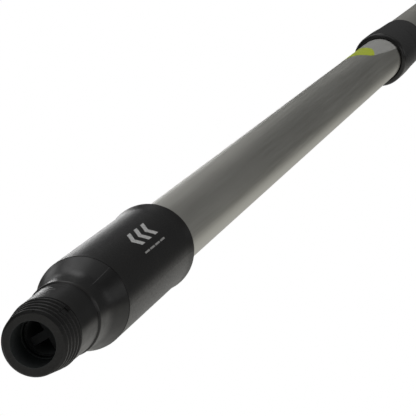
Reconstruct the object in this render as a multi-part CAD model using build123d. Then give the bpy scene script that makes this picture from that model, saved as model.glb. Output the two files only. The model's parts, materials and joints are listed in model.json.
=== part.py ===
"""Telescopic tool pole: hollow threaded tip, two aluminium stages, twist lock, hose tail.

The pole lies along +Y with +Z up. The origin is the centre of the mouth of the threaded
tip, so the tip faces -Y and the hose tail is at the far +Y end. All sizes are millimetres.
The pole is drawn pulled out, with the inner stage just short of its stop. Angles round the
pole are in degrees from straight up, towards +X.
"""
from build123d import *
import math
import os

# ---- driving dimensions: tubes ------------------------------------------------------
INNER_TUBE_R = 14.0          # inner stage, 28 mm tube
OUTER_TUBE_R = 16.0          # outer stage, 32 mm tube
TUBE_WALL = 1.5
INNER_BORE_R = INNER_TUBE_R - TUBE_WALL
OUTER_BORE_R = OUTER_TUBE_R - TUBE_WALL
INNER_TUBE_END_Y = 925.0
OUTER_TUBE_END_Y = 1575.0
SNUG = 0.04                  # radial play between pieces that are fixed together
PIN_R = 1.5
PIN_SIDES = (90.0, 270.0)
OVERCUT = 1.0                # how far a cutter runs past the surface it breaks

# ---- threaded tip -------------------------------------------------------------------
BORE_R = 8.1                 # water way at the mouth
SEAT_Y = (12.0, 14.0)        # narrower seat that the flow baffle is pressed into
SEAT_R = 7.65
WATER_WAY_R = 7.3            # water way behind the baffle
NOSE_FACE_R = 10.8
CREST_FRONT_R = 11.3         # the thread's crests lie on a cone
CREST_BACK_R = 12.95
THREAD_DEPTH = 0.85
THREAD_PITCH = 2.65
THREAD_ROOT_WIDTH = 0.75
THREAD_MOUTH_WIDTH = 1.95
THREAD_CUTTER_RISE = 1.8     # height of the thread cutter, in thread depths
THREAD_START_Y = -1.6        # the groove runs in from ahead of the mouth
THREAD_START_DEG = 200.0
THREAD_TURN_DEG = 150.4      # turns the finished thread to where it starts on the nose
RELIEF_Y = (13.35, 14.2)     # relief groove that the thread runs into
RELIEF_R = 12.1
THREAD_TAPER = (CREST_BACK_R - CREST_FRONT_R) / RELIEF_Y[0]
THREAD_FLAT_SIDES = (40.0, 220.0)
THREAD_FLAT_WIDTH = 2.2
THREAD_FLAT_R = 11.75        # the thread is broken by a flat at this distance
THREAD_FLAT_START_Y = 5.0
NOTCH_WIDTH = 0.9            # index notch on top of the nose
NOTCH_LENGTH = 1.6
NECK_FRONT_R = 12.8
NECK_BACK_R = 13.05
STEP_Y = 34.0                # step that a tool's socket runs up to
STEP_R = 13.7
SHANK_R = 13.45
FLARE_Y = 42.0
FLARE_MID = (14.75, 49.2)    # the flare turns from a curve to a cone here
FLANGE_R = 17.35
TIP_BACK_Y = 57.6            # tube and sleeve start here
SPIGOT_END_Y = 118.0
NOZZLE_SEAL_Y = (70.0, 77.0)
NOZZLE_GROOVE_R = 10.7
NOZZLE_GROOVE_HALF = 1.05
NOZZLE_PIN_Y = 104.0
NOZZLE_PIN_INNER_R = 8.6

# ---- flow baffle --------------------------------------------------------------------
BAFFLE_WEB = 1.6
BAFFLE_WEB_OFFSET = 1.1      # the web's straight edge lies this far off the axis
BAFFLE_BAR_WIDTH = 3.0
BAFFLE_BAR_DEPTH = 1.9
BAFFLE_BAR_REACH = 4.7
BAFFLE_TURN_DEG = 58.0

# ---- tip sleeve ---------------------------------------------------------------------
SLEEVE_R = 17.45
SLEEVE_LIP_R = 18.05
SLEEVE_END_Y = 153.4
SLEEVE_LIP_DROP = 1.7        # the rounded lip turns in this far at the back
SLEEVE_FLARE = 10.0          # length of the flare ahead of the back edge
SLEEVE_SKIN = 1.9
SLEEVE_CORE_INSET = 14.0     # solid length at each end of the cored part
SLEEVE_RIBS = 6
SLEEVE_RIB_WIDTH = 1.6

# ---- extension label ----------------------------------------------------------------
LABEL_THICK = 0.05
LABEL_FACING_DEG = -8.0
LABEL_OUTLINE = (            # corners as (y, degrees)
    (641.0, -88.0), (648.0, -55.0), (653.5, -27.0), (658.5, -5.0), (664.0, 13.0), (669.5, 25.0),
    (677.0, 31.5), (709.0, 44.0), (768.0, 62.0), (768.0, -88.0),
)

# ---- guide bush on the inner end of the inner tube ----------------------------------
GUIDE_SPIGOT_Y = 892.0
GUIDE_END_Y = 952.0
GUIDE_RUN = 0.07             # running clearance in the outer tube and in the inner tube
GUIDE_WATER_R = 9.0
GUIDE_PIN_Y = 908.0
GUIDE_GROOVE_R = 10.6
GUIDE_SEAL_Y = (934.5, 943.5)
GUIDE_SEAL_FLOOR_R = 12.2
GUIDE_SEAL_HALF = 1.4

# ---- twist lock ---------------------------------------------------------------------
NUT_FRONT_Y = 745.0
NUT_BACK_Y = 800.0
NUT_R = 17.6
NUT_BACK_R = 17.0
NUT_LIP_R = INNER_TUBE_R + 0.4
NUT_THREAD_R = 15.75
THREAD_CLEAR = 0.3           # gap of the lock thread, drawn plain
WIPER_Y = (746.4, 749.2)
WIPER_R = 15.5
WIPER_BORE_R = INNER_TUBE_R + 0.11
LOCK_BORE_R = INNER_TUBE_R + 0.14
COLLET_Y = (752.0, 762.4)
COLLET_NOSE_R = 14.85
COLLET_CONE_R = 15.4
CONE_GAP = 0.25
COLLET_SLOTS = 6
COLLET_SLOT_WIDTH = 0.8
COLLET_SPLIT_WIDTH = 1.4     # one slot runs right through
COLLET_SLOT_REACH = 0.7      # the others stop at this share of the length
COLLAR_FRONT_Y = 763.0
COLLAR_SEAT_Y = 803.0        # shoulder in the collar that the outer tube butts on
COLLAR_BACK_Y = 841.0
COLLAR_SKIRT_R = 16.95
COLLAR_EDGE_R = OUTER_TUBE_R + 0.6
RIVET_Y = 828.0
RIVET_R = 2.0

# ---- outer stage, grip and tail -----------------------------------------------------
STOP_GROOVE_Y = 911.5        # rolled groove that stops the guide bush
STOP_GROOVE_HALF = 2.0
STOP_GROOVE_DEPTH = 0.3
GRIP_START_Y = 1296.0
GRIP_R = 19.2
GRIP_FIRST_GROOVE = 30.0     # from the grip's front edge
GRIP_GROOVES = 22
GRIP_GROOVE_PITCH = 10.0
GRIP_GROOVE_DEPTH = 0.9
GRIP_GROOVE_HALF = (0.6, 1.1)   # half width at the floor and at the surface
PLUG_START_Y = 1532.0
PLUG_FLANGE_R = 17.9
PLUG_BACK_Y = OUTER_TUBE_END_Y + 9.0
PLUG_SEAL_Y = (1538.0, 1545.0)
PLUG_GROOVE_R = 12.4
PLUG_GROOVE_HALF = 1.25
PLUG_PIN_Y = 1558.0
PLUG_PIN_INNER_R = 11.6
PLUG_WATER_R = 6.5
SOCKET_FLOOR_Y = 1556.0
SOCKET_SEAL_Y = 1562.0
NIPPLE_R = 8.4
NIPPLE_BORE_R = 5.0
NIPPLE_SPIGOT_R = 9.4
NIPPLE_GROOVE_R = 7.7
NIPPLE_GROOVE_HALF = 1.1
NIPPLE_WASHER = 1.6
NIPPLE_HEX = 24.0
NIPPLE_HEX_LENGTH = 7.0
NIPPLE_TAIL = 34.0
NIPPLE_WAIST_R = 6.9


# ---- helpers ------------------------------------------------------------------------
def turned(points):
    """Solid of revolution about the pole's axis, from (radius, y) points."""
    outline = make_face(Polyline(*points, close=True))
    return revolve(outline, Axis.Y, 360)


def tube(outer_r, inner_r, y0, y1):
    """Plain ring or tube on the pole's axis."""
    return turned([(inner_r, y0), (outer_r, y0), (outer_r, y1), (inner_r, y1)])


def o_ring(floor_r, wall_r, y):
    """Round ring on the pole's axis that fills a groove between two radii."""
    section_r = (wall_r - floor_r) / 2 - SNUG / 2
    section = Plane.XY * Pos((floor_r + wall_r) / 2, y) * Circle(section_r)
    return revolve(section, Axis.Y, 360)


def radial_pin(radius, r0, r1, y, degrees):
    """Round pin that points out from the axis."""
    pin = Pos(0, 0, r0) * Cylinder(radius, r1 - r0, align=(Align.CENTER, Align.CENTER, Align.MIN))
    return Pos(0, y, 0) * Rot(0, degrees, 0) * pin


def pin_pair(r0, r1, y):
    """Two fixed pins, one each side of the pole."""
    return Compound([radial_pin(PIN_R - SNUG / 2, r0, r1, y, side) for side in PIN_SIDES])


def radial_bar(width, r0, r1, y0, y1, degrees):
    """Square bar that points out from the axis."""
    bar = Pos(0, (y0 + y1) / 2, (r0 + r1) / 2) * Box(width, y1 - y0, r1 - r0)
    return Rot(0, degrees, 0) * bar


def helical_groove(floor_r, cone_degrees, height, y0, y1, start_degrees):
    """Cutter for the tip's thread, wound right-handed along +Y on a cone."""
    path = Helix(THREAD_PITCH, y1 - y0, floor_r, cone_angle=cone_degrees)
    section_plane = Plane(origin=path @ 0, x_dir=(1, 0, 0), z_dir=path % 0)
    floor = THREAD_ROOT_WIDTH / 2
    mouth = floor + (THREAD_MOUTH_WIDTH / 2 - floor) * height / THREAD_DEPTH
    corners = [(0, -floor), (height, -mouth), (height, mouth), (0, floor)]
    section = make_face(Polyline(*corners, close=True))
    cutter = sweep(section_plane * section, path=path, is_frenet=True)
    return Pos(0, y0, 0) * Rot(0, start_degrees, 0) * Rot(-90, 0, 0) * cutter


# ---- tool end -----------------------------------------------------------------------
def nozzle_outline():
    """Half section of the nozzle, with the crests of its thread as a plain cone."""
    chamfer_r = CREST_FRONT_R + 0.5 * THREAD_TAPER
    spigot_r = INNER_BORE_R - SNUG
    rim_y = TIP_BACK_Y - 0.5
    with BuildSketch(Plane.XY) as section:
        with BuildLine():
            Polyline(
                (BORE_R, 0), (NOSE_FACE_R, 0), (chamfer_r, 0.5), (CREST_BACK_R, RELIEF_Y[0] - 0.25),
                (RELIEF_R, RELIEF_Y[0]), (RELIEF_R, RELIEF_Y[1] - 0.3), (NECK_FRONT_R, RELIEF_Y[1] + 0.1),
                (NECK_BACK_R, STEP_Y - 0.7), (STEP_R - 0.1, STEP_Y), (STEP_R, STEP_Y + 0.5),
                (SHANK_R, STEP_Y + 5.0), (SHANK_R, FLARE_Y),
            )
            TangentArc((SHANK_R, FLARE_Y), FLARE_MID, tangent=(0, 1))
            Polyline(
                FLARE_MID, (FLANGE_R - 0.15, rim_y - 0.45), (FLANGE_R, rim_y),
                (FLANGE_R - 0.35, TIP_BACK_Y), (spigot_r, TIP_BACK_Y), (spigot_r, SPIGOT_END_Y - 1.5),
                (INNER_BORE_R - 1.2, SPIGOT_END_Y), (WATER_WAY_R, SPIGOT_END_Y),
                (WATER_WAY_R, SEAT_Y[1]), (SEAT_R, SEAT_Y[1]), (SEAT_R, SEAT_Y[0]),
                (BORE_R, SEAT_Y[0]), (BORE_R, 0),
            )
        make_face()
    return section.sketch


def threaded_nozzle():
    """Moulded hollow tip: tapered thread, neck, flared flange and spigot."""
    blank = revolve(nozzle_outline(), Axis.Y, 360)
    floor_r = CREST_FRONT_R + THREAD_TAPER * THREAD_START_Y - THREAD_DEPTH
    thread_end = RELIEF_Y[1] - 0.3
    groove = helical_groove(
        floor_r, math.degrees(math.atan(THREAD_TAPER)), THREAD_DEPTH * THREAD_CUTTER_RISE,
        THREAD_START_Y, thread_end, THREAD_START_DEG,
    )
    nozzle = Rot(0, THREAD_TURN_DEG, 0) * (blank - groove)
    for side in THREAD_FLAT_SIDES:
        nozzle -= radial_bar(
            THREAD_FLAT_WIDTH, THREAD_FLAT_R, THREAD_FLAT_R + 3.0, THREAD_FLAT_START_Y, RELIEF_Y[0], side,
        )
    nozzle -= radial_bar(
        NOTCH_WIDTH, NOSE_FACE_R + 0.15, NOSE_FACE_R + 2.0, -OVERCUT, NOTCH_LENGTH, 0.0,
    )
    for y in NOZZLE_SEAL_Y:
        groove_y = (y - NOZZLE_GROOVE_HALF, y + NOZZLE_GROOVE_HALF)
        nozzle -= tube(INNER_BORE_R + OVERCUT, NOZZLE_GROOVE_R, *groove_y)
    for side in PIN_SIDES:
        nozzle -= radial_pin(PIN_R, NOZZLE_PIN_INNER_R, INNER_TUBE_R, NOZZLE_PIN_Y, side)
    return nozzle


def nozzle_o_rings():
    """Two rings that seal the spigot in the inner tube."""
    return Compound([o_ring(NOZZLE_GROOVE_R, INNER_BORE_R, y) for y in NOZZLE_SEAL_Y])


def nozzle_lock_pins():
    """Two drive pins through the tube wall into the spigot, hidden by the sleeve."""
    return pin_pair(NOZZLE_PIN_INNER_R + 0.1, INNER_TUBE_R - 0.1, NOZZLE_PIN_Y)


def flow_baffle():
    """Half-moon web across the bore, with a bar that stands out from its straight edge."""
    rim_r = SEAT_R - SNUG
    disc = tube(rim_r, 0.0, SEAT_Y[0], SEAT_Y[0] + BAFFLE_WEB)
    web = disc & radial_bar(
        2 * BORE_R, BAFFLE_WEB_OFFSET, BORE_R, SEAT_Y[0] - OVERCUT, SEAT_Y[1], BAFFLE_TURN_DEG,
    )
    bar = radial_bar(
        BAFFLE_BAR_WIDTH, -BAFFLE_BAR_REACH, BAFFLE_WEB_OFFSET + 0.4, SEAT_Y[0],
        SEAT_Y[0] + BAFFLE_BAR_DEPTH, BAFFLE_TURN_DEG,
    )
    return web + bar


def tip_sleeve():
    """Cored plastic sleeve over the tube, with a flared rounded lip at the back."""
    bore = INNER_TUBE_R + SNUG / 2
    lip_y = SLEEVE_END_Y - 1.9
    lip_back_r = SLEEVE_LIP_R - SLEEVE_LIP_DROP
    flare_y = SLEEVE_END_Y - SLEEVE_FLARE
    with BuildPart() as body:
        with BuildSketch(Plane.XY):
            with BuildLine():
                Line((bore, TIP_BACK_Y), (SLEEVE_R - 0.45, TIP_BACK_Y))
                ThreePointArc(
                    (SLEEVE_R - 0.45, TIP_BACK_Y), (SLEEVE_R - 0.13, TIP_BACK_Y + 0.15),
                    (SLEEVE_R, TIP_BACK_Y + 0.6),
                )
                Line((SLEEVE_R, TIP_BACK_Y + 0.6), (SLEEVE_R, flare_y))
                Spline((SLEEVE_R, flare_y), (SLEEVE_LIP_R, lip_y), tangents=((0, 1), (0.1, 1)))
                ThreePointArc(
                    (SLEEVE_LIP_R, lip_y), (SLEEVE_LIP_R - 0.5, SLEEVE_END_Y - 0.45),
                    (lip_back_r, SLEEVE_END_Y),
                )
                Polyline(
                    (lip_back_r, SLEEVE_END_Y), (bore + 0.5, SLEEVE_END_Y),
                    (bore, SLEEVE_END_Y - 0.8), (bore, TIP_BACK_Y),
                )
            make_face()
        revolve(axis=Axis.Y)
    core_y0 = TIP_BACK_Y + SLEEVE_CORE_INSET
    core_y1 = SLEEVE_END_Y - SLEEVE_CORE_INSET
    cavity = tube(SLEEVE_R - SLEEVE_SKIN, bore - OVERCUT, core_y0, core_y1)
    for index in range(SLEEVE_RIBS):
        angle = 360.0 / SLEEVE_RIBS * index
        cavity -= radial_bar(
            SLEEVE_RIB_WIDTH, bore - 2 * OVERCUT, SLEEVE_R, core_y0 - OVERCUT, core_y1 + OVERCUT, angle,
        )
    return body.part - cavity


def inner_tube():
    """Sliding aluminium tube."""
    stage = tube(INNER_TUBE_R, INNER_BORE_R, TIP_BACK_Y, INNER_TUBE_END_Y)
    for y in (NOZZLE_PIN_Y, GUIDE_PIN_Y):
        for side in PIN_SIDES:
            stage -= radial_pin(PIN_R, INNER_BORE_R - OVERCUT, INNER_TUBE_R + OVERCUT, y, side)
    return stage


def extension_label():
    """Printed film on the tube that shows when the stage is nearly full out."""
    outer_r = INNER_TUBE_R + LABEL_THICK
    corners = [
        (outer_r * math.sin(math.radians(degrees - LABEL_FACING_DEG)), y)
        for y, degrees in LABEL_OUTLINE
    ]
    pattern = extrude(make_face(Polyline(*corners, close=True)), OUTER_TUBE_R)
    starts = [y for y, degrees in LABEL_OUTLINE]
    film = tube(outer_r, INNER_TUBE_R, min(starts), max(starts))
    return film & (Rot(0, LABEL_FACING_DEG, 0) * pattern)


# ---- guide bush on the inner end of the inner tube ----------------------------------
def guide_bush():
    """Plastic piston that slides in the outer tube and lets the inner tube turn on it."""
    run_r = OUTER_BORE_R - GUIDE_RUN
    spigot_r = INNER_BORE_R - GUIDE_RUN
    head_y = INNER_TUBE_END_Y + 0.3
    bush = turned([
        (GUIDE_WATER_R, GUIDE_SPIGOT_Y), (spigot_r - 1.0, GUIDE_SPIGOT_Y),
        (spigot_r, GUIDE_SPIGOT_Y + 1.2), (spigot_r, head_y), (run_r - 0.05, head_y),
        (run_r, head_y + 0.3), (run_r, GUIDE_END_Y - 1.0), (run_r - 1.0, GUIDE_END_Y),
        (GUIDE_WATER_R + 0.8, GUIDE_END_Y), (GUIDE_WATER_R, GUIDE_END_Y - 0.8),
    ])
    pin_room = PIN_R + 0.3
    pin_y = (GUIDE_PIN_Y - pin_room, GUIDE_PIN_Y + pin_room)
    bush -= tube(INNER_BORE_R + OVERCUT, GUIDE_GROOVE_R, *pin_y)
    for y in GUIDE_SEAL_Y:
        seal_y = (y - GUIDE_SEAL_HALF, y + GUIDE_SEAL_HALF)
        bush -= tube(OUTER_BORE_R + OVERCUT, GUIDE_SEAL_FLOOR_R, *seal_y)
    return bush


def guide_seals():
    """Two rings that seal the guide bush in the outer tube."""
    return Compound([o_ring(GUIDE_SEAL_FLOOR_R, OUTER_BORE_R - SNUG, y) for y in GUIDE_SEAL_Y])


def guide_pins():
    """Two pins fixed in the tube wall that run in the bush's groove."""
    return pin_pair(GUIDE_GROOVE_R + 0.4, INNER_TUBE_R - 0.1, GUIDE_PIN_Y)


# ---- twist lock ---------------------------------------------------------------------
def lock_nut():
    """Twist collar: rounded leading edge, tapered grip surface and an inner cone."""
    front = NUT_FRONT_Y
    back_edge_y = NUT_BACK_Y - 0.5
    cone_y = COLLET_Y[1] - 0.4
    face_y = WIPER_Y[1] + 0.7
    with BuildPart() as body:
        with BuildSketch(Plane.XY):
            with BuildLine():
                Line((NUT_LIP_R + 0.5, front), (NUT_R - 2.3, front))
                ThreePointArc(
                    (NUT_R - 2.3, front), (NUT_R - 0.75, front + 1.0), (NUT_R - 0.12, front + 3.4),
                )
                Spline((NUT_R - 0.12, front + 3.4), (NUT_R, front + 14.0), (NUT_BACK_R, back_edge_y))
                Polyline(
                    (NUT_BACK_R, back_edge_y), (NUT_BACK_R - 0.4, NUT_BACK_Y), (NUT_THREAD_R, NUT_BACK_Y),
                    (NUT_THREAD_R, cone_y), (COLLET_CONE_R + CONE_GAP, cone_y),
                    (COLLET_NOSE_R + CONE_GAP, COLLET_Y[0]), (COLLET_NOSE_R + CONE_GAP, face_y),
                    (NUT_LIP_R, face_y), (NUT_LIP_R, WIPER_Y[1]), (WIPER_R, WIPER_Y[1]),
                    (WIPER_R, WIPER_Y[0]), (NUT_LIP_R, WIPER_Y[0]), (NUT_LIP_R, front + 0.5),
                    (NUT_LIP_R + 0.5, front),
                )
            make_face()
        revolve(axis=Axis.Y)
    return body.part


def wiper_seal():
    """Rubber ring in the nut's mouth that keeps grit out."""
    lip = WIPER_BORE_R + 0.5
    rim = WIPER_R - SNUG / 2
    y0 = WIPER_Y[0] + SNUG / 2
    y1 = WIPER_Y[1] - SNUG / 2
    return turned([
        (WIPER_BORE_R, y0 + 0.9), (lip, y0), (rim, y0), (rim, y1), (lip, y1), (WIPER_BORE_R, y1 - 0.9),
    ])


def thrust_washer():
    """Slip washer between the turning nut and the collet."""
    return tube(COLLET_NOSE_R - 0.1, LOCK_BORE_R + 0.1, WIPER_Y[1] + 1.0, COLLET_Y[0] - 0.2)


def clamp_collet():
    """Split cone ring that the nut squeezes on the inner tube."""
    front, back = COLLET_Y
    collet = turned([
        (LOCK_BORE_R, front), (COLLET_NOSE_R, front), (COLLET_CONE_R, back - 0.4), (COLLET_CONE_R, back),
        (LOCK_BORE_R, back),
    ])
    for index in range(COLLET_SLOTS):
        through = index == 0
        width = COLLET_SPLIT_WIDTH if through else COLLET_SLOT_WIDTH
        slot_end = back + OVERCUT if through else front + (back - front) * COLLET_SLOT_REACH
        angle = 180.0 + 360.0 / COLLET_SLOTS * index
        collet -= radial_bar(
            width, LOCK_BORE_R - OVERCUT, COLLET_CONE_R + OVERCUT, front - OVERCUT, slot_end, angle,
        )
    return collet


def collar_body():
    """Fixed bush on the front of the outer tube: threaded neck and tapered skirt."""
    neck_r = NUT_THREAD_R - THREAD_CLEAR
    skirt_y = NUT_BACK_Y + 0.6
    edge_y = COLLAR_BACK_Y - 1.2
    seat_r = OUTER_TUBE_R + SNUG / 2
    with BuildPart() as body:
        with BuildSketch(Plane.XY):
            with BuildLine():
                Polyline(
                    (LOCK_BORE_R, COLLAR_FRONT_Y), (neck_r - 0.5, COLLAR_FRONT_Y),
                    (neck_r, COLLAR_FRONT_Y + 0.8), (neck_r, skirt_y), (COLLAR_SKIRT_R - 0.4, skirt_y),
                    (COLLAR_SKIRT_R, skirt_y + 0.4),
                )
                Spline(
                    (COLLAR_SKIRT_R, skirt_y + 0.4), (COLLAR_SKIRT_R - 0.1, skirt_y + 16.0),
                    (COLLAR_EDGE_R, edge_y),
                )
                Polyline(
                    (COLLAR_EDGE_R, edge_y), (COLLAR_EDGE_R - 0.35, COLLAR_BACK_Y),
                    (seat_r, COLLAR_BACK_Y), (seat_r, COLLAR_SEAT_Y), (LOCK_BORE_R, COLLAR_SEAT_Y),
                    (LOCK_BORE_R, COLLAR_FRONT_Y),
                )
            make_face()
        revolve(axis=Axis.Y)
    collar = body.part
    for side in PIN_SIDES:
        collar -= radial_pin(RIVET_R, OUTER_BORE_R, NUT_R, RIVET_Y, side)
    return collar


def collar_rivets():
    """Two flush rivets that hold the collar body on the outer tube."""
    head_r = COLLAR_SKIRT_R - 0.2
    return Compound([
        radial_pin(RIVET_R - SNUG / 2, OUTER_BORE_R + 0.05, head_r, RIVET_Y, side)
        for side in PIN_SIDES
    ])


# ---- outer stage --------------------------------------------------------------------
def outer_tube():
    """Fixed aluminium tube with a rolled stop groove near its front end."""
    groove_y0 = STOP_GROOVE_Y - STOP_GROOVE_HALF
    groove_y1 = STOP_GROOVE_Y + STOP_GROOVE_HALF
    front = COLLAR_SEAT_Y
    end = OUTER_TUBE_END_Y
    with BuildPart() as body:
        with BuildSketch(Plane.XY):
            with BuildLine():
                Polyline((OUTER_BORE_R, front), (OUTER_TUBE_R, front), (OUTER_TUBE_R, groove_y0))
                ThreePointArc(
                    (OUTER_TUBE_R, groove_y0), (OUTER_TUBE_R - STOP_GROOVE_DEPTH, STOP_GROOVE_Y),
                    (OUTER_TUBE_R, groove_y1),
                )
                Polyline(
                    (OUTER_TUBE_R, groove_y1), (OUTER_TUBE_R, end), (OUTER_BORE_R, end),
                    (OUTER_BORE_R, groove_y1),
                )
                ThreePointArc(
                    (OUTER_BORE_R, groove_y1), (OUTER_BORE_R - STOP_GROOVE_DEPTH, STOP_GROOVE_Y),
                    (OUTER_BORE_R, groove_y0),
                )
                Line((OUTER_BORE_R, groove_y0), (OUTER_BORE_R, front))
            make_face()
        revolve(axis=Axis.Y)
    stage = body.part
    for side in PIN_SIDES:
        for radius, y in ((RIVET_R, RIVET_Y), (PIN_R, PLUG_PIN_Y)):
            stage -= radial_pin(radius, OUTER_BORE_R - OVERCUT, OUTER_TUBE_R + OVERCUT, y, side)
    return stage


def hand_grip():
    """Rubber hand grip over the outer tube, with a row of shallow ring grooves."""
    end = OUTER_TUBE_END_Y
    bore = OUTER_TUBE_R + SNUG / 2
    grip = turned([
        (bore, GRIP_START_Y), (OUTER_TUBE_R + 1.0, GRIP_START_Y), (GRIP_R - 0.6, GRIP_START_Y + 5.0),
        (GRIP_R, GRIP_START_Y + 8.0), (GRIP_R, end - 3.0), (GRIP_R - 0.9, end), (bore, end),
    ])
    floor_r = GRIP_R - GRIP_GROOVE_DEPTH
    edge_r = GRIP_R - 0.1
    floor, mouth = GRIP_GROOVE_HALF
    top = mouth + 0.8
    for index in range(GRIP_GROOVES):
        y = GRIP_START_Y + GRIP_FIRST_GROOVE + index * GRIP_GROOVE_PITCH
        grip -= turned([
            (GRIP_R + OVERCUT, y - top), (edge_r, y - mouth), (floor_r, y - floor),
            (floor_r, y + floor), (edge_r, y + mouth), (GRIP_R + OVERCUT, y + top),
        ])
    return grip


# ---- tail: plug and hose nipple -----------------------------------------------------
def end_plug():
    """Moulded plug in the tail of the outer tube, with a socket for the hose nipple."""
    plug_r = OUTER_BORE_R - SNUG
    socket_r = NIPPLE_SPIGOT_R + SNUG
    end = OUTER_TUBE_END_Y
    plug = turned([
        (PLUG_WATER_R, PLUG_START_Y), (plug_r - 1.0, PLUG_START_Y), (plug_r, PLUG_START_Y + 1.5),
        (plug_r, end), (PLUG_FLANGE_R - 0.6, end), (PLUG_FLANGE_R, end + 0.8),
        (PLUG_FLANGE_R, PLUG_BACK_Y - 2.5), (PLUG_FLANGE_R - 2.2, PLUG_BACK_Y), (socket_r, PLUG_BACK_Y),
        (socket_r, SOCKET_FLOOR_Y), (PLUG_WATER_R, SOCKET_FLOOR_Y),
    ])
    for y in PLUG_SEAL_Y:
        plug -= tube(OUTER_BORE_R + OVERCUT, PLUG_GROOVE_R, y - PLUG_GROOVE_HALF, y + PLUG_GROOVE_HALF)
    for side in PIN_SIDES:
        plug -= radial_pin(PIN_R, PLUG_PIN_INNER_R, OUTER_TUBE_R, PLUG_PIN_Y, side)
    return plug


def end_plug_o_rings():
    """Two rings that seal the plug in the outer tube."""
    return Compound([o_ring(PLUG_GROOVE_R, OUTER_BORE_R, y) for y in PLUG_SEAL_Y])


def end_plug_pins():
    """Two drive pins through the tube wall into the plug, hidden by the grip."""
    return pin_pair(PLUG_PIN_INNER_R + 0.1, OUTER_TUBE_R - 0.1, PLUG_PIN_Y)


def hose_nipple():
    """Quick-connect hose nipple: spigot with a ring groove, hexagon, waist and nose."""
    seat = PLUG_BACK_Y + NIPPLE_WASHER
    tail = seat + NIPPLE_HEX_LENGTH
    end = tail + NIPPLE_TAIL
    core_r = NIPPLE_HEX / 2 - 0.6
    end_r = NIPPLE_WAIST_R + 0.4
    nipple = turned([
        (NIPPLE_BORE_R, SOCKET_FLOOR_Y + 0.5), (NIPPLE_SPIGOT_R - 0.6, SOCKET_FLOOR_Y + 0.5),
        (NIPPLE_SPIGOT_R, SOCKET_FLOOR_Y + 1.3), (NIPPLE_SPIGOT_R, seat), (core_r, seat), (core_r, tail),
        (NIPPLE_R + 0.6, tail), (NIPPLE_R + 0.6, tail + 1.5), (NIPPLE_R, tail + 2.0),
        (NIPPLE_R, tail + 12.0), (NIPPLE_WAIST_R, tail + 13.4), (NIPPLE_WAIST_R, tail + 17.0),
        (NIPPLE_R, tail + 18.4), (NIPPLE_R, tail + 21.0), (end_r, tail + 23.5), (end_r, end - 1.2),
        (end_r - 1.0, end), (NIPPLE_BORE_R, end),
    ])
    flats = RegularPolygon(NIPPLE_HEX / 2, 6, major_radius=False)
    hexagon = extrude(Plane.XZ * flats, -NIPPLE_HEX_LENGTH)
    bevel_r = NIPPLE_HEX / 2 + 1.3
    bevel = turned([
        (NIPPLE_BORE_R, seat), (bevel_r - 0.4, seat), (bevel_r, seat + 1.0), (bevel_r, tail - 1.2),
        (bevel_r - 1.2, tail), (NIPPLE_BORE_R, tail),
    ])
    nipple += (Pos(0, seat, 0) * hexagon) & bevel
    seal_y = (SOCKET_SEAL_Y - NIPPLE_GROOVE_HALF, SOCKET_SEAL_Y + NIPPLE_GROOVE_HALF)
    nipple -= tube(NIPPLE_SPIGOT_R + OVERCUT, NIPPLE_GROOVE_R, *seal_y)
    return nipple


def nipple_o_ring():
    """Ring that seals the nipple in the plug's socket."""
    return o_ring(NIPPLE_GROOVE_R, NIPPLE_SPIGOT_R + SNUG, SOCKET_SEAL_Y)


def nipple_washer():
    """Flat washer under the nipple's hexagon."""
    back = PLUG_BACK_Y + NIPPLE_WASHER
    return tube(NIPPLE_HEX / 2 + 0.4, NIPPLE_SPIGOT_R + SNUG, PLUG_BACK_Y, back)


SUB_PARTS = (
    threaded_nozzle, flow_baffle, nozzle_o_rings, nozzle_lock_pins, tip_sleeve, inner_tube,
    extension_label, guide_bush, guide_seals, guide_pins, lock_nut, wiper_seal, thrust_washer,
    clamp_collet, collar_body, collar_rivets, outer_tube, hand_grip, end_plug, end_plug_o_rings,
    end_plug_pins, hose_nipple, nipple_o_ring, nipple_washer,
)


def main():
    os.makedirs("parts", exist_ok=True)
    for make in SUB_PARTS:
        export_step(make(), f"parts/{make.__name__}.step")


main()
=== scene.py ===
"""Looks of the telescopic tool pole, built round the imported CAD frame."""
import json
import math

import bmesh
import bpy
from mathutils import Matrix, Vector


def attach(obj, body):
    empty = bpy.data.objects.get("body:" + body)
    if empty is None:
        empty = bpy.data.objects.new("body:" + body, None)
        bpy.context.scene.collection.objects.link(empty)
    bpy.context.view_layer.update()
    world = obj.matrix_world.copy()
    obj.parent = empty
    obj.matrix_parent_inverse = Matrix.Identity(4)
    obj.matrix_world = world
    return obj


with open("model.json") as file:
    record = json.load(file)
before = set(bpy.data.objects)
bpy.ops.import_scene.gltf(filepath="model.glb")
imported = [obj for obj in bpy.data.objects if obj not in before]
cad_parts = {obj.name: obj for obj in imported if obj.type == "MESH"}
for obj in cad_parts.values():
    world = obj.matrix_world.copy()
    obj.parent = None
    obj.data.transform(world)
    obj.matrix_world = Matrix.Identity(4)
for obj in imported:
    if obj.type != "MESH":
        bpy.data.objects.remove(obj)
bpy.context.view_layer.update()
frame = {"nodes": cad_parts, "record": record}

MM = 0.001

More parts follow.
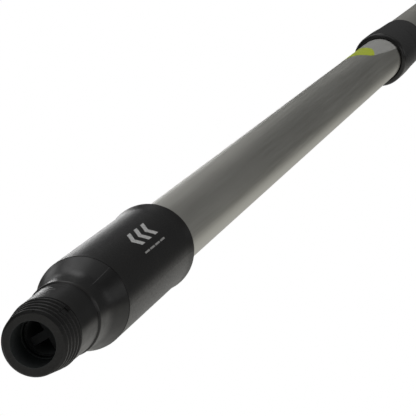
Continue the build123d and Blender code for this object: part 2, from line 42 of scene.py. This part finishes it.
# ---- places on the pole, in mm from the tip's mouth and degrees from straight up ----
THREAD_END_Y = (13.6, 14.6)     # the rubbed look fades out here
STEP_EDGE_Y = 34.1
FLARE_START_Y = (36.0, 40.0)    # the mould lines fade in here
MOULD_LINE_DEG = 126.5          # one line here and one opposite
BORE_WALL_R = (8.0, 8.3)        # everything inside this radius gets the bore's painted light
BAFFLE_RIM_R = (7.75, 7.95)
BAFFLE_BACK_Y = (13.95, 14.6)
SLEEVE_R = 17.45
MARK_LIFT = 0.03                # the printed films lie this far off the sleeve
CHEVRON_Y = (93.5, 103.0, 112.5)
CHEVRON_DEG = (17.5, 40.0)
DASH_Y = (94.5, 101.8, 109.1, 116.4)
DASH_DEG = (48.9, 51.3)
DASH_LENGTH = 6.2
LABEL_EDGE = (                  # (degrees, y) where the bright end gives way to grey
    (-88, 727), (-75, 725), (-50, 716), (-38, 710), (-24, 704), (-12, 700), (1, 697), (13, 694),
    (19, 690), (25.6, 684), (31.5, 676),
)
LABEL_DEG = (-90.0, 40.0)       # ranges that the label's edge curve spans
LABEL_Y = (670.0, 730.0)

# ---- stage --------------------------------------------------------------------------
FLOOR_Z = -0.6
FLOOR_GLOW = 0.55
CAMERA_PLACE = (0.2146, -0.6568, 0.1844)
CAMERA_DOWN_DEG = 11.36
CAMERA_TURN_DEG = 13.285
CAMERA_LENS = 186.2
LIGHTS = (                      # name, place, aim, size, watts
    ("left_far_soft", (-1.05, 3.0, -0.06), (0.0, 0.1, 0.0), (0.6, 0.48), 3.1),
    ("left_high_soft", (-0.95, 1.75, 1.85), (0.0, 0.1, 0.0), (1.9, 1.1), 6.3),
    ("right_soft", (1.9, 1.4, 0.55), (0.0, 0.05, 0.0), (1.1, 0.9), 1.4),
    ("left_back_soft", (-2.3, 3.0, 0.75), (0.0, 0.3, 0.0), (1.5, 1.1), 3.2),
    ("right_back_soft", (2.8, 3.2, 0.9), (0.0, 1.0, 0.0), (1.3, 1.1), 1.2),
    ("overhead_soft", (0.4, 1.0, 2.6), (0.0, 1.0, 0.0), (1.8, 2.4), 5.0),
    ("right_side_soft", (2.2, -0.7, 0.95), (0.0, 0.1, 0.0), (1.2, 1.2), 4.0),
    ("front_top_soft", (-0.4, -0.3, 2.2), (0.0, 0.1, 0.0), (1.2, 1.2), 2.2),
    ("front_soft", (-0.6, -2.2, 0.7), (0.0, 0.0, 0.0), (1.3, 1.3), 4.0),
)


# ---- node helpers -------------------------------------------------------------------
def new_material(name, **sockets):
    """Material with a Principled shader and the given plain socket values."""
    material = bpy.data.materials.new(name)
    material.use_nodes = True
    shader = material.node_tree.nodes["Principled BSDF"]
    for label, value in sockets.items():
        shader.inputs[label.replace("_", " ")].default_value = value
    return material, material.node_tree, shader


def place(tree, scale=(1.0, 1.0, 1.0)):
    """Object coordinates in metres, stretched by scale."""
    coords = tree.nodes.new("ShaderNodeTexCoord")
    mapping = tree.nodes.new("ShaderNodeMapping")
    mapping.inputs["Scale"].default_value = scale
    tree.links.new(coords.outputs["Object"], mapping.inputs["Vector"])
    return mapping.outputs["Vector"]


def noise(tree, vector, scale, detail=4.0, roughness=0.55, distortion=0.0):
    """Noise from 0 to 1 with about scale features a metre."""
    node = tree.nodes.new("ShaderNodeTexNoise")
    node.inputs["Scale"].default_value = scale
    node.inputs["Detail"].default_value = detail
    node.inputs["Roughness"].default_value = roughness
    node.inputs["Distortion"].default_value = distortion
    tree.links.new(vector, node.inputs["Vector"])
    return node.outputs["Fac"]


def spread(tree, value, low, high, to_low, to_high):
    """Map Range with clamping."""
    node = tree.nodes.new("ShaderNodeMapRange")
    node.inputs["From Min"].default_value = low
    node.inputs["From Max"].default_value = high
    node.inputs["To Min"].default_value = to_low
    node.inputs["To Max"].default_value = to_high
    tree.links.new(value, node.inputs["Value"])
    return node.outputs["Result"]


def calc(tree, operation, first, second=0.0, third=0.0):
    """Math node on sockets or plain numbers."""
    node = tree.nodes.new("ShaderNodeMath")
    node.operation = operation
    for socket, value in zip(node.inputs, (first, second, third)):
        if isinstance(value, (int, float)):
            socket.default_value = value
        else:
            tree.links.new(value, socket)
    return node.outputs["Value"]


def ramp(tree, value, stops):
    """Colour ramp with (position, (r, g, b)) stops."""
    node = tree.nodes.new("ShaderNodeValToRGB")
    elements = node.color_ramp.elements
    for index, (position, colour) in enumerate(stops):
        element = elements[index] if index < 2 else elements.new(position)
        element.position = position
        element.color = (*colour, 1.0)
    tree.links.new(value, node.inputs["Fac"])
    return node.outputs["Color"]


def blend_colour(tree, factor, first, second):
    """Mix of two colours, each a socket or a plain (r, g, b)."""
    node = tree.nodes.new("ShaderNodeMix")
    node.data_type = "RGBA"
    tree.links.new(factor, node.inputs["Factor"])
    for label, value in (("A", first), ("B", second)):
        socket = next(s for s in node.inputs if s.name == label and s.type == "RGBA")
        if isinstance(value, tuple):
            socket.default_value = (*value, 1.0)
        else:
            tree.links.new(value, socket)
    return next(s for s in node.outputs if s.type == "RGBA")


def add_bump(tree, shader, height, distance, strength=1.0, normal=None):
    """Bump of the given real height in metres. Returns the new normal."""
    node = tree.nodes.new("ShaderNodeBump")
    node.inputs["Distance"].default_value = distance
    node.inputs["Strength"].default_value = strength
    tree.links.new(height, node.inputs["Height"])
    if normal is not None:
        tree.links.new(normal, node.inputs["Normal"])
    tree.links.new(node.outputs["Normal"], shader.inputs["Normal"])
    return node.outputs["Normal"]


def axes_of(tree, kind):
    """X, Y and Z of the texture coordinates of the given kind."""
    coords = tree.nodes.new("ShaderNodeTexCoord")
    split = tree.nodes.new("ShaderNodeSeparateXYZ")
    tree.links.new(coords.outputs[kind], split.inputs["Vector"])
    return split.outputs["X"], split.outputs["Y"], split.outputs["Z"]


def angle_y_radius(tree):
    """Angle round the pole in degrees from straight up towards +X, y and radius in mm."""
    x, y, z = axes_of(tree, "Object")
    radians = calc(tree, "ARCTAN2", x, z)
    squares = calc(tree, "MULTIPLY_ADD", z, z, calc(tree, "MULTIPLY", x, x))
    radius = calc(tree, "SQRT", squares)
    y = calc(tree, "DIVIDE", y, MM)
    return calc(tree, "DEGREES", radians), y, calc(tree, "DIVIDE", radius, MM)


# ---- materials ----------------------------------------------------------------------
def moulded_plastic(name, dark, light, rough):
    """Moulded plastic: faint mottling, fine grain and a few rubbed patches."""
    material, tree, shader = new_material(name)
    at = place(tree)
    mottle = noise(tree, at, 90.0, 5.0)
    tree.links.new(ramp(tree, mottle, [(0.35, dark), (0.7, light)]), shader.inputs["Base Color"])
    rubbed = noise(tree, place(tree, (1.0, 0.35, 1.0)), 240.0, 6.0, 0.65)
    gloss = spread(tree, rubbed, 0.35, 0.75, rough - 0.04, rough + 0.08)
    tree.links.new(gloss, shader.inputs["Roughness"])
    normal = add_bump(tree, shader, noise(tree, at, 160.0, 2.0), 0.000032)
    add_bump(tree, shader, noise(tree, at, 2600.0, 3.0, 0.6), 0.00002, 1.0, normal)
    return material


def tip_plastic(name):
    """The tip's satin black: rubbed thread, a painted highlight along the step, two faint mould
    lines, painted light in the bore.
    """
    material, tree, shader = new_material(name, Specular_IOR_Level=0.37)
    degrees, y, radius = angle_y_radius(tree)
    at = place(tree)
    in_bore = spread(tree, radius, *BORE_WALL_R, 1.0, 0.0)
    on_thread = spread(tree, y, *THREAD_END_Y, 1.0, 0.0)
    from_step = calc(tree, "ABSOLUTE", calc(tree, "SUBTRACT", y, STEP_EDGE_Y))
    # painted highlight: a lighter band round the step edge, standing in for the light its chamfer
    # catches
    step_highlight = spread(tree, from_step, 0.3, 0.8, 0.55, 0.0)
    scuff = noise(tree, place(tree, (1.0, 0.5, 1.0)), 1100.0, 8.0, 0.75, 0.8)
    rubbed = calc(tree, "MULTIPLY", spread(tree, scuff, 0.45, 0.72, 0.1, 0.75), on_thread)
    # real rubbing on the thread together with the painted highlight on the step
    wear_and_step_highlight = calc(tree, "MAXIMUM", rubbed, step_highlight)
    mottle = noise(tree, at, 90.0, 5.0)
    base = ramp(tree, mottle, [(0.35, (0.006, 0.006, 0.0061)), (0.7, (0.0105, 0.0103, 0.0099))])
    outside = blend_colour(tree, wear_and_step_highlight, base, (0.03, 0.0295, 0.0285))
    # painted light in the bore: slightly lighter black on the baffle face, grey on the wall, paler
    # grey behind the baffle
    baffle_painted_light = ramp(tree, mottle, [(0.3, (0.010, 0.0115, 0.012)), (0.75, (0.016, 0.018, 0.0185))])
    wall_painted_light = ramp(tree, mottle, [(0.3, (0.05, 0.057, 0.058)), (0.75, (0.075, 0.083, 0.084))])
    deep_painted_light = ramp(tree, mottle, [(0.3, (0.13, 0.14, 0.143)), (0.75, (0.2, 0.21, 0.213))])
    off_baffle = spread(tree, radius, *BAFFLE_RIM_R, 0.0, 1.0)
    mouth_painted_light = blend_colour(tree, off_baffle, baffle_painted_light, wall_painted_light)
    behind_baffle = spread(tree, y, *BAFFLE_BACK_Y, 0.0, 1.0)
    overlay = blend_colour(tree, behind_baffle, mouth_painted_light, deep_painted_light)
    tree.links.new(blend_colour(tree, in_bore, outside, overlay), shader.inputs["Base Color"])
    handled = noise(tree, place(tree, (1.0, 0.35, 1.0)), 240.0, 6.0, 0.65)
    rough = spread(tree, handled, 0.35, 0.75, 0.28, 0.4)
    rough = calc(tree, "MULTIPLY_ADD", on_thread, 0.1, rough)
    tree.links.new(calc(tree, "MULTIPLY_ADD", in_bore, 0.35, rough), shader.inputs["Roughness"])
    half_turn = calc(tree, "PINGPONG", calc(tree, "SUBTRACT", degrees, MOULD_LINE_DEG), 90.0)
    from_line = calc(tree, "ABSOLUTE", calc(tree, "SUBTRACT", half_turn, 90.0))
    line = spread(tree, from_line, 0.0, 0.45, 1.0, 0.0)
    moulded = calc(tree, "MULTIPLY", line, spread(tree, y, *FLARE_START_Y, 0.0, 1.0))
    normal = add_bump(tree, shader, moulded, 0.00006)
    normal = add_bump(tree, shader, noise(tree, at, 160.0, 2.0), 0.00002, 1.0, normal)
    normal = add_bump(tree, shader, calc(tree, "MULTIPLY", scuff, on_thread), 0.00004, 1.0, normal)
    add_bump(tree, shader, noise(tree, at, 2600.0, 3.0, 0.6), 0.000012, 1.0, normal)
    return material


def lengthwise_plastic(name):
    """Matt black sleeve: fine lengthwise marks, grain and light handling scratches."""
    material, tree, shader = new_material(name, Specular_IOR_Level=0.35)
    at = place(tree)
    streaks = noise(tree, place(tree, (1.0, 0.02, 1.0)), 1500.0, 4.0, 0.6)
    mottle = noise(tree, at, 70.0, 4.0)
    base = ramp(tree, mottle, [(0.3, (0.006, 0.006, 0.006)), (0.75, (0.0105, 0.0102, 0.0098))])
    scratches = noise(tree, place(tree, (1.0, 0.06, 1.0)), 900.0, 7.0, 0.75, 0.6)
    scratch_mask = spread(tree, scratches, 0.68, 0.78, 0.0, 0.4)
    scratched = blend_colour(tree, scratch_mask, base, (0.035, 0.034, 0.032))
    tree.links.new(scratched, shader.inputs["Base Color"])
    rub = noise(tree, place(tree, (1.0, 0.4, 1.0)), 1700.0, 5.0, 0.7)
    tree.links.new(spread(tree, rub, 0.3, 0.72, 0.29, 0.43), shader.inputs["Roughness"])
    normal = add_bump(tree, shader, streaks, 0.000009, 0.8)
    normal = add_bump(tree, shader, rub, 0.00002, 1.0, normal)
    add_bump(tree, shader, noise(tree, at, 130.0, 2.0), 0.00006, 0.5, normal)
    return material


def anodised_metal(name):
    """Satin anodised tube: drawing lines along the tube, cloudy tone and handling marks."""
    material, tree, shader = new_material(name, Metallic=1.0)
    at = place(tree)
    lines = noise(tree, place(tree, (1.0, 0.006, 1.0)), 2200.0, 3.0, 0.6)
    cloud = noise(tree, place(tree, (1.0, 0.12, 1.0)), 45.0, 4.0)
    tone = ramp(tree, cloud, [(0.3, (0.54, 0.535, 0.49)), (0.75, (0.62, 0.613, 0.565))])
    line_tone = spread(tree, lines, 0.35, 0.7, 0.0, 0.5)
    lined = blend_colour(tree, line_tone, tone, (0.66, 0.655, 0.62))
    scuffs = noise(tree, place(tree, (1.0, 0.15, 1.0)), 700.0, 8.0, 0.8, 1.2)
    scuff_mask = spread(tree, scuffs, 0.7, 0.8, 0.0, 0.35)
    scuffed = blend_colour(tree, scuff_mask, lined, (0.75, 0.75, 0.72))
    tree.links.new(scuffed, shader.inputs["Base Color"])
    line_rough = spread(tree, lines, 0.3, 0.7, 0.38, 0.46)
    rough = calc(tree, "ADD", line_rough, spread(tree, cloud, 0.3, 0.7, 0.0, 0.05))
    tree.links.new(rough, shader.inputs["Roughness"])
    normal = add_bump(tree, shader, lines, 0.000025, 0.8)
    add_bump(tree, shader, noise(tree, at, 3200.0, 2.0), 0.000006, 0.7, normal)
    return material


def gloss_black(name):
    """Glossy moulded collar: slight waviness, dust-fine pits and hairline scratches."""
    material, tree, shader = new_material(name, Coat_Weight=0.08, Coat_Roughness=0.12)
    at = place(tree)
    mottle = noise(tree, at, 60.0, 4.0)
    base = ramp(tree, mottle, [(0.3, (0.0045, 0.0045, 0.0047)), (0.75, (0.0085, 0.0082, 0.0078))])
    tree.links.new(base, shader.inputs["Base Color"])
    hair = noise(tree, place(tree, (1.0, 0.5, 1.0)), 1400.0, 8.0, 0.8, 2.0)
    tree.links.new(spread(tree, hair, 0.35, 0.8, 0.2, 0.42), shader.inputs["Roughness"])
    normal = add_bump(tree, shader, noise(tree, at, 110.0, 2.0), 0.00004, 0.6)
    add_bump(tree, shader, hair, 0.000008, 0.8, normal)
    return material


def grip_rubber(name):
    """Matt rubber grip: pebbled skin, dusty tone in random patches."""
    material, tree, shader = new_material(
        name, Specular_IOR_Level=0.35, Sheen_Weight=0.15, Sheen_Roughness=0.5)
    at = place(tree)
    cells = tree.nodes.new("ShaderNodeTexVoronoi")
    cells.inputs["Scale"].default_value = 1300.0
    tree.links.new(at, cells.inputs["Vector"])
    dust = noise(tree, at, 120.0, 6.0, 0.7)
    base = ramp(tree, dust, [(0.35, (0.03, 0.03, 0.0305)), (0.8, (0.062, 0.061, 0.058))])
    tree.links.new(base, shader.inputs["Base Color"])
    tree.links.new(spread(tree, dust, 0.3, 0.7, 0.62, 0.82), shader.inputs["Roughness"])
    normal = add_bump(tree, shader, cells.outputs["Distance"], 0.00012, 0.8)
    add_bump(tree, shader, noise(tree, at, 3000.0, 3.0), 0.00002, 0.8, normal)
    return material


def steel(name):
    """Turned steel: fine rings and small tone changes."""
    material, tree, shader = new_material(name, Metallic=1.0)
    at = place(tree)
    turned = noise(tree, place(tree, (0.2, 1.0, 0.2)), 3000.0, 3.0)
    base = ramp(tree, turned, [(0.3, (0.42, 0.42, 0.43)), (0.7, (0.6, 0.6, 0.6))])
    tree.links.new(base, shader.inputs["Base Color"])
    tree.links.new(spread(tree, turned, 0.3, 0.7, 0.22, 0.36), shader.inputs["Roughness"])
    add_bump(tree, shader, noise(tree, at, 2500.0, 3.0), 0.00001)
    return material


def label_border(tree, degrees):
    """The y in mm, at each angle, where the label's bright end gives way to grey."""
    first_deg, last_deg = LABEL_DEG
    first_y, last_y = LABEL_Y
    curve = tree.nodes.new("ShaderNodeFloatCurve")
    points = curve.mapping.curves[0].points
    span = [
        ((angle - first_deg) / (last_deg - first_deg), (y - first_y) / (last_y - first_y))
        for angle, y in LABEL_EDGE
    ]
    points[0].location = span[0]
    points[1].location = span[-1]
    for location in span[1:-1]:
        points.new(*location)
    curve.mapping.update()
    tree.links.new(spread(tree, degrees, *LABEL_DEG, 0.0, 1.0), curve.inputs["Value"])
    return calc(tree, "MULTIPLY_ADD", curve.outputs["Value"], last_y - first_y, first_y)


def label_film(name):
    """Printed film: a bright end whose slanted edge gives way to pale grey."""
    material, tree, shader = new_material(name, Specular_IOR_Level=0.35)
    degrees, y, _ = angle_y_radius(tree)
    past = calc(tree, "SUBTRACT", y, label_border(tree, degrees))
    at = place(tree)
    fibre = noise(tree, at, 900.0, 5.0, 0.7)
    bright = ramp(tree, fibre, [(0.3, (0.72, 0.86, 0.05)), (0.7, (0.82, 0.95, 0.08))])
    pale = ramp(tree, fibre, [(0.3, (0.52, 0.52, 0.50)), (0.7, (0.62, 0.62, 0.59))])
    factor = spread(tree, past, -0.4, 0.4, 0.0, 1.0)
    tree.links.new(blend_colour(tree, factor, bright, pale), shader.inputs["Base Color"])
    tree.links.new(spread(tree, fibre, 0.3, 0.7, 0.42, 0.58), shader.inputs["Roughness"])
    add_bump(tree, shader, noise(tree, at, 1500.0, 3.0), 0.00001)
    return material


def print_ink(name, dark, light):
    """Pad-printed ink with small pinholes and an uneven tone."""
    material, tree, shader = new_material(name, Specular_IOR_Level=0.3)
    at = place(tree)
    patches = noise(tree, at, 1100.0, 6.0, 0.7)
    tree.links.new(ramp(tree, patches, [(0.34, dark), (0.5, light)]), shader.inputs["Base Color"])
    tree.links.new(spread(tree, patches, 0.3, 0.7, 0.45, 0.62), shader.inputs["Roughness"])
    add_bump(tree, shader, patches, 0.000008)
    return material


# ---- printed mark on the sleeve -----------------------------------------------------
def film_on_sleeve(name, outlines, material):
    """Thin film bent on the sleeve from (y in mm, degrees) outlines, cut fine round the pole."""
    radius = (SLEEVE_R + MARK_LIFT) * MM
    mesh = bmesh.new()
    for outline in outlines:
        corners = [mesh.verts.new((degrees, y, 0.0)) for y, degrees in outline]
        mesh.faces.new(corners)
    angles = [degrees for outline in outlines for y, degrees in outline]
    low = min(angles)
    high = max(angles)
    cut = low + 0.7
    while cut < high:
        everything = mesh.verts[:] + mesh.edges[:] + mesh.faces[:]
        bmesh.ops.bisect_plane(mesh, geom=everything, plane_co=(cut, 0, 0), plane_no=(1, 0, 0))
        cut += 1.5
    for vert in mesh.verts:
        angle = math.radians(vert.co.x)
        vert.co = (radius * math.sin(angle), vert.co.y * MM, radius * math.cos(angle))
    mesh.normal_update()
    for face in mesh.faces:
        centre = face.calc_center_median()
        if face.normal.dot(Vector((centre.x, 0, centre.z))) < 0:
            face.normal_flip()
    data = bpy.data.meshes.new(name)
    mesh.to_mesh(data)
    mesh.free()
    overlay = bpy.data.objects.new(name, data)
    bpy.context.scene.collection.objects.link(overlay)
    data.materials.append(material)
    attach(overlay, "inner_stage")


def chevron(y, low, high, depth, width):
    """One arrow-shaped stroke that points to the tip, between two angles."""
    middle = (low + high) / 2
    return (
        [(y + depth, low), (y, middle), (y + width, middle), (y + depth + width, low)],
        [(y, middle), (y + depth, high), (y + depth + width, high), (y + width, middle)],
    )


def add_sleeve_mark():
    """Three arrow strokes in pale ink and a row of grey dashes beside them."""
    pale = print_ink("mark_pale_ink", (0.5, 0.5, 0.49), (0.8, 0.8, 0.79))
    grey = print_ink("mark_grey_ink", (0.28, 0.28, 0.28), (0.5, 0.5, 0.49))
    strokes = []
    for y in CHEVRON_Y:
        strokes.extend(chevron(y, *CHEVRON_DEG, 4.8, 4.4))
    film_on_sleeve("sleeve_mark_chevrons", strokes, pale)
    low, high = DASH_DEG
    dashes = [
        [(y, low), (y, high), (y + DASH_LENGTH, high), (y + DASH_LENGTH, low)] for y in DASH_Y
    ]
    film_on_sleeve("sleeve_mark_dashes", dashes, grey)


# ---- stage --------------------------------------------------------------------------
def show(tree, light, seen, output):
    """The seen shader where the camera looks straight at the backdrop, else the light one."""
    path = tree.nodes.new("ShaderNodeLightPath")
    mix = tree.nodes.new("ShaderNodeMixShader")
    tree.links.new(light.outputs[0], mix.inputs[1])
    tree.links.new(seen.outputs[0], mix.inputs[2])
    tree.links.new(path.outputs["Is Camera Ray"], mix.inputs["Fac"])
    tree.links.new(mix.outputs["Shader"], tree.nodes.new(output).inputs["Surface"])


def add_floor():
    """Plain floor, white to the camera, that lights the pole from below and fades far off."""
    mesh = bpy.data.meshes.new("floor")
    corners = [(-40, -40, FLOOR_Z), (40, -40, FLOOR_Z), (40, 80, FLOOR_Z), (-40, 80, FLOOR_Z)]
    mesh.from_pydata(corners, [], [(0, 1, 2, 3)])
    floor = bpy.data.objects.new("floor", mesh)
    bpy.context.scene.collection.objects.link(floor)
    material = bpy.data.materials.new("floor_white")
    material.use_nodes = True
    tree = material.node_tree
    tree.nodes.clear()
    y = axes_of(tree, "Object")[1]
    pool = ramp(tree, spread(tree, y, 0.0, 8.0, 0.0, 1.0), [
        (0.0, (FLOOR_GLOW, FLOOR_GLOW * 0.99, FLOOR_GLOW * 0.95)),
        (0.26, (FLOOR_GLOW, FLOOR_GLOW * 0.99, FLOOR_GLOW * 0.94)), (0.35, (0.47, 0.465, 0.435)),
        (0.47, (0.09, 0.089, 0.086)), (1.0, (0.05, 0.05, 0.05)),
    ])
    glow = tree.nodes.new("ShaderNodeEmission")
    tree.links.new(pool, glow.inputs["Color"])
    white = tree.nodes.new("ShaderNodeEmission")
    show(tree, glow, white, "ShaderNodeOutputMaterial")
    mesh.materials.append(material)


def add_world():
    """Pale backdrop that lights the pole dimly from above the horizon."""
    world = bpy.data.worlds.new("studio")
    bpy.context.scene.world = world
    world.use_nodes = True
    tree = world.node_tree
    tree.nodes.clear()
    height = axes_of(tree, "Generated")[2]
    sky = ramp(tree, spread(tree, height, -1.0, 1.0, 0.0, 1.0), [
        (0.0, (0.3, 0.3, 0.3)), (0.495, (0.06, 0.06, 0.06)), (0.53, (0.06, 0.06, 0.06)),
        (0.75, (0.12, 0.12, 0.12)), (1.0, (0.25, 0.25, 0.25)),
    ])
    dim = tree.nodes.new("ShaderNodeBackground")
    tree.links.new(sky, dim.inputs["Color"])
    white = tree.nodes.new("ShaderNodeBackground")
    white.inputs["Color"].default_value = (1.0, 1.0, 1.0, 1.0)
    show(tree, dim, white, "ShaderNodeOutputWorld")


def soft_light(name, location, target, size, watts):
    """Rectangular white light that the camera doesn't see, aimed at target."""
    data = bpy.data.lights.new(name, "AREA")
    data.shape = "RECTANGLE"
    data.size, data.size_y = size
    data.energy = watts
    light = bpy.data.objects.new(name, data)
    light.location = location
    light.visible_camera = False
    aim = Vector(target) - Vector(location)
    light.rotation_euler = aim.to_track_quat("-Z", "Y").to_euler()
    bpy.context.scene.collection.objects.link(light)


def set_camera():
    """Long lens, in front of the tip, to its right and a little above."""
    data = bpy.data.cameras.new("camera")
    data.sensor_width = 36.0
    data.lens = CAMERA_LENS
    data.clip_end = 200.0
    camera = bpy.data.objects.new("camera", data)
    camera.location = CAMERA_PLACE
    tilt = math.radians(90.0 - CAMERA_DOWN_DEG)
    camera.rotation_euler = (tilt, 0.0, math.radians(CAMERA_TURN_DEG))
    bpy.context.scene.collection.objects.link(camera)
    bpy.context.scene.camera = camera


def dress(frame):
    """Put each slot's material on the CAD nodes of that slot."""
    looks = {
        "black_plastic": tip_plastic("black_plastic"),
        "sleeve_plastic": lengthwise_plastic("sleeve_plastic"),
        "dark_plastic": moulded_plastic(
            "dark_plastic", (0.03, 0.03, 0.032), (0.045, 0.045, 0.046), 0.45),
        "gloss_black": gloss_black("gloss_black"),
        "anodised_tube": anodised_metal("anodised_tube"),
        "label_film": label_film("label_film"),
        "white_acetal": moulded_plastic(
            "white_acetal", (0.62, 0.62, 0.58), (0.74, 0.74, 0.7), 0.4),
        "seal_rubber": moulded_plastic(
            "seal_rubber", (0.012, 0.012, 0.012), (0.02, 0.02, 0.02), 0.55),
        "grip_rubber": grip_rubber("grip_rubber"),
        "steel_pins": steel("steel_pins"),
    }
    for row in frame["record"]["subparts"]:
        mesh = frame["nodes"][row["node"]].data
        for index in range(len(mesh.materials)):
            mesh.materials[index] = looks[row["material_slot"]]


dress(frame)
add_sleeve_mark()
add_floor()
add_world()
for row in LIGHTS:
    soft_light(*row)
set_camera()
bpy.context.scene.view_settings.view_transform = "Standard"
